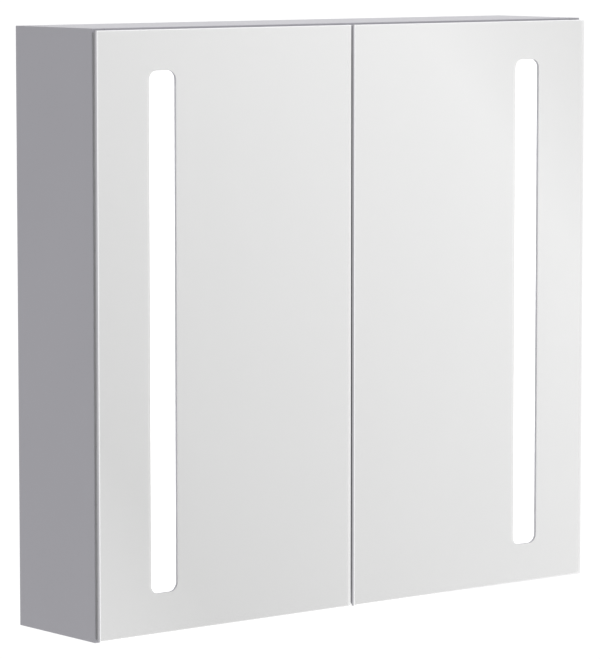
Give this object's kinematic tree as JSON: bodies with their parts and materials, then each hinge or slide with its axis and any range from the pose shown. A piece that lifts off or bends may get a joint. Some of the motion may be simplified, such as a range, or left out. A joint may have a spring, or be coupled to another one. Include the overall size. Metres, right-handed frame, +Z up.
{
  "type": "medicine cabinet with mirror",
  "caption": "Wall-hung mirror cabinet with overlay mirror doors on continuous hinges, upright light windows, glass shelves and an adjustable wall hanging.",
  "frame": {"origin": "middle of the wall rail's two screw slots, on the wall plane", "axes": "+X to the right seen from the front, +Y into the wall, +Z up; the doors face -Y"},
  "size_m": [0.6514, 0.1385, 0.608],
  "materials": {
    "body_lacquer": "light grey lacquer on fibreboard, satin",
    "inner_mirror_silver": "silvered mirror, polished edge",
    "silvering": "silvering behind the front glass",
    "door_glass": "clear float glass with a polished edge",
    "shelf_glass": "clear float glass with polished edges",
    "zinc_steel": "zinc-plated steel",
    "polished_steel": "bright stainless steel",
    "anodised_aluminium": "satin anodised",
    "cover_metal": "light grey powder coat",
    "white_plastic": "fine-textured moulded plastic",
    "black_plastic": "fine-textured moulded plastic",
    "black_rubber": "smooth moulded rubber",
    "lead_sleeve": "flexible sleeve",
    "board_white": "white solder mask",
    "led_glow": "lit light-emitting diodes",
    "opal_glow": "opal sheet, lit from behind",
    "sensor_red": "dark red window",
    "magnet_black": "sintered magnet",
    "clear_bumper": "soft clear bumper"
  },
  "bodies": {
    "cabinet": {"left_side_panel": "body_lacquer", "right_side_panel": "body_lacquer", "top_panel": "body_lacquer", "bottom_panel": "body_lacquer", "back_panel": "body_lacquer", "interior_mirror": "inner_mirror_silver", "cam_locks": "zinc_steel", "cam_bolts": "zinc_steel", "upper_shelf": "shelf_glass", "lower_shelf": "shelf_glass", "shelf_supports": "polished_steel", "wall_rail": "zinc_steel", "left_hanger_body": "white_plastic", "right_hanger_body": "white_plastic", "left_hanger_hook": "zinc_steel", "right_hanger_hook": "zinc_steel", "hanger_adjusting_screws": "zinc_steel", "service_cover": "cover_metal", "led_driver": "white_plastic", "terminal_block": "white_plastic", "cable_grommet": "black_rubber", "mains_link_lead": "lead_sleeve", "left_light_lead": "lead_sleeve", "right_light_lead": "lead_sleeve", "sensor_lead": "lead_sleeve", "left_light_housing": "anodised_aluminium", "right_light_housing": "anodised_aluminium", "left_led_board": "board_white", "right_led_board": "board_white", "led_chips": "led_glow", "left_diffuser": "opal_glow", "right_diffuser": "opal_glow", "light_end_caps": "white_plastic", "sensor_housing": "black_plastic", "sensor_lens": "sensor_red", "sensor_nut": "black_plastic", "left_hinge_body_leaf": "polished_steel", "right_hinge_body_leaf": "polished_steel", "left_hinge_pin": "polished_steel", "right_hinge_pin": "polished_steel", "hinge_screws": "polished_steel", "door_catch": "white_plastic", "catch_magnets": "magnet_black", "pan_head_screws": "zinc_steel"},
    "left_door": {"left_door_glass": "door_glass", "left_silvering": "silvering", "left_inner_mirror": "inner_mirror_silver", "left_window_insert": "opal_glow", "left_hinge_door_leaf": "polished_steel", "left_strike_plate": "zinc_steel", "left_door_bumpers": "clear_bumper"},
    "right_door": {"right_door_glass": "door_glass", "right_silvering": "silvering", "right_inner_mirror": "inner_mirror_silver", "right_window_insert": "opal_glow", "right_hinge_door_leaf": "polished_steel", "right_strike_plate": "zinc_steel", "right_door_bumpers": "clear_bumper"}
  },
  "joints": [
    {"name": "left_door_hinge", "type": "hinge", "parent": "cabinet", "child": "left_door", "pos_m": [-0.32375, -0.13225, -0.243], "axis": [0, 0, -1], "range_deg": [0, 110]},
    {"name": "right_door_hinge", "type": "hinge", "parent": "cabinet", "child": "right_door", "pos_m": [0.32375, -0.13225, -0.243], "axis": [0, 0, 1], "range_deg": [0, 110]}
  ]
}
